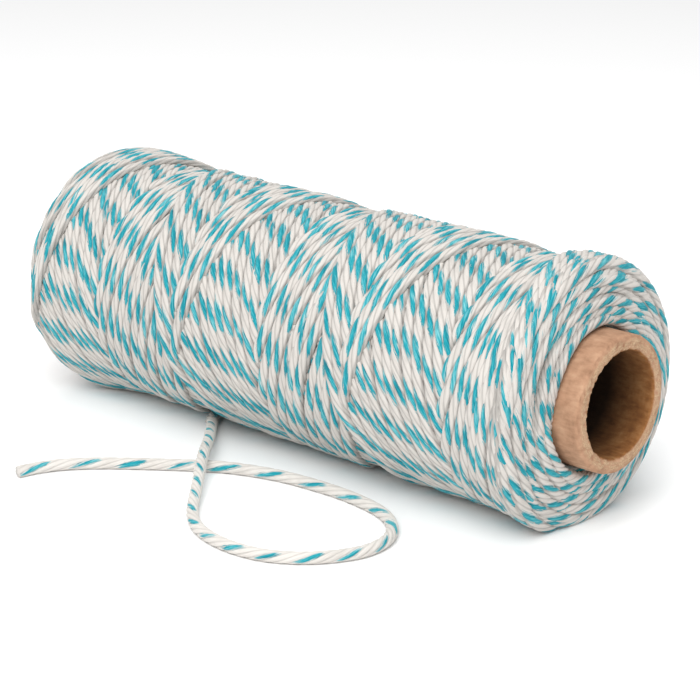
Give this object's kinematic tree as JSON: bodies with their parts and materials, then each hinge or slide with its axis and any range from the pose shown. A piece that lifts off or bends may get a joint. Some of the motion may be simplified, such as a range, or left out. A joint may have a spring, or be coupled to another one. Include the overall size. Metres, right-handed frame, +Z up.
{
  "type": "spool of twisted cotton twine on a kraft tube",
  "caption": "Cross-wound spool of two-colour twisted cotton twine on a plain kraft tube, lying on its side with a looped loose end.",
  "frame": {"origin": "on the surface under the middle of the spool, tube and winding together, without the loose end", "axes": "+X along the tube towards the end turned to the camera in the picture, +Z up; the loose end lies on the -Y side"},
  "size_m": [0.1158, 0.0682, 0.0408],
  "materials": {
    "cotton_twine": "matte",
    "kraft_board": "matte"
  },
  "bodies": {
    "root": {"tube": "kraft_board", "winding": "cotton_twine", "loose_end": "cotton_twine"}
  },
  "joints": []
}
